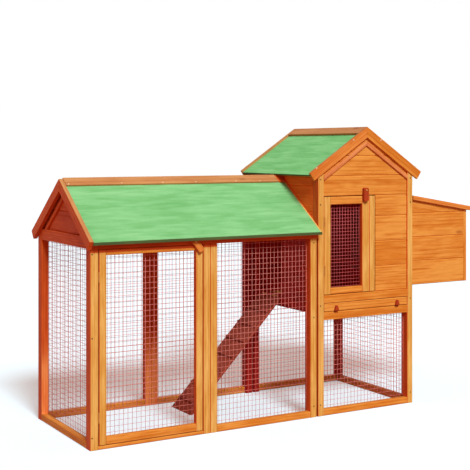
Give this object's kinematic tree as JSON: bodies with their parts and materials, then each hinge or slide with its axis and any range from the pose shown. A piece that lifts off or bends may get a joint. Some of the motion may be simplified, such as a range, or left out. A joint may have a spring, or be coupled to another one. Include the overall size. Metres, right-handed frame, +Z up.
{
  "type": "chicken cage",
  "caption": "Timber hen house raised on posts beside a gabled wire run, with a ramp, a hinged nest box lid, wire doors on turn buttons and a pull-out tray.",
  "frame": {"origin": "on the ground under the middle of the cage's box", "axes": "+X along the front from the run towards the nest box, +Y from the front to the back, +Z up"},
  "size_m": [2.019, 0.6726, 1.298],
  "materials": {
    "frame_wood": "planed fir, honey orange stain, satin",
    "board_wood": "planed fir boards, orange stain with darker grain, satin",
    "trim_wood": "planed fir, terracotta stain, satin",
    "accent_wood": "small fir blocks, dark orange stain, satin",
    "green_roof": "board faced with pale green mineral felt, matt",
    "galvanised_wire": "galvanised welded wire",
    "zinc_hardware": "zinc plated, passivated dull gold"
  },
  "bodies": {
    "cage": {"run_corner_posts": "frame_wood", "run_centre_posts": "frame_wood", "run_top_rails": "frame_wood", "run_ground_rails": "frame_wood", "run_door_sill": "frame_wood", "run_gable_rail": "frame_wood", "run_gable_boards": "board_wood", "run_gable_trims": "trim_wood", "run_roof_front": "green_roof", "run_roof_back": "green_roof", "run_ridge_boards": "trim_wood", "run_barge_boards": "trim_wood", "run_wire_end": "galvanised_wire", "run_wire_front": "galvanised_wire", "run_wire_back": "galvanised_wire", "house_posts": "frame_wood", "house_wall_plates": "frame_wood", "house_floor_rails": "frame_wood", "house_ground_rails": "frame_wood", "house_panel_rail": "frame_wood", "house_door_framing": "frame_wood", "house_front_boards": "board_wood", "house_back_boards": "board_wood", "house_left_boards": "board_wood", "house_right_boards": "board_wood", "doorway_sill": "frame_wood", "house_roof_left": "green_roof", "house_roof_right": "green_roof", "house_ridge_boards": "trim_wood", "house_barge_boards": "trim_wood", "house_gable_trims": "trim_wood", "under_house_wire": "galvanised_wire", "tray_runners": "frame_wood", "perch": "frame_wood", "nest_side_boards": "board_wood", "nest_end_boards": "board_wood", "nest_corner_strips": "frame_wood", "nest_floor": "board_wood", "button_screws": "zinc_hardware", "hinge_frame_leaves": "zinc_hardware"},
    "run_door": {"run_door_frame": "frame_wood", "run_door_wire": "galvanised_wire", "run_door_hinge_leaves": "zinc_hardware"},
    "run_door_button": {"run_door_button": "accent_wood"},
    "house_door": {"house_door_frame": "frame_wood", "house_door_batten": "frame_wood", "house_door_wire": "galvanised_wire", "house_door_hinge_leaves": "zinc_hardware"},
    "house_door_button": {"house_door_button": "accent_wood"},
    "dropping_tray": {"tray_front": "frame_wood", "tray_pan": "board_wood", "tray_pulls": "accent_wood"},
    "nest_lid": {"nest_lid_panel": "green_roof", "nest_lid_trims": "trim_wood", "nest_lid_hinge_leaves": "zinc_hardware"},
    "ramp": {"ramp_board": "board_wood", "ramp_cleats": "board_wood", "ramp_hinge_leaves": "zinc_hardware"}
  },
  "joints": [
    {"name": "run_door_hinge", "type": "hinge", "parent": "cage", "child": "run_door", "pos_m": [-0.955, -0.3033, 0.3985], "axis": [0, 0, -1], "range_deg": [0, 115]},
    {"name": "run_door_button_turn", "type": "hinge", "parent": "cage", "child": "run_door_button", "pos_m": [-0.5255, -0.3005, 0.81001], "axis": [0, 1, 0], "range_deg": [-54, 126]},
    {"name": "house_door_hinge", "type": "hinge", "parent": "cage", "child": "house_door", "pos_m": [0.133, -0.3033, 0.541], "axis": [0, 0, -1], "range_deg": [0, 110]},
    {"name": "house_door_button_turn", "type": "hinge", "parent": "cage", "child": "house_door_button", "pos_m": [0.3625, -0.2945, 1.007], "axis": [0, 1, 0], "range_deg": [-90, 90]},
    {"name": "tray_slide", "type": "slide", "parent": "cage", "child": "dropping_tray", "axis": [0, -1, 0], "range_m": [0, 0.42]},
    {"name": "nest_lid_hinge", "type": "hinge", "parent": "cage", "child": "nest_lid", "pos_m": [0.6428, 0, 0.97937], "axis": [0, -1, 0], "range_deg": [0, 70]},
    {"name": "ramp_hinge", "type": "hinge", "parent": "cage", "child": "ramp", "pos_m": [0.098, 0.105, 0.5003], "axis": [0, 1, 0], "range_deg": [0, 60]}
  ]
}
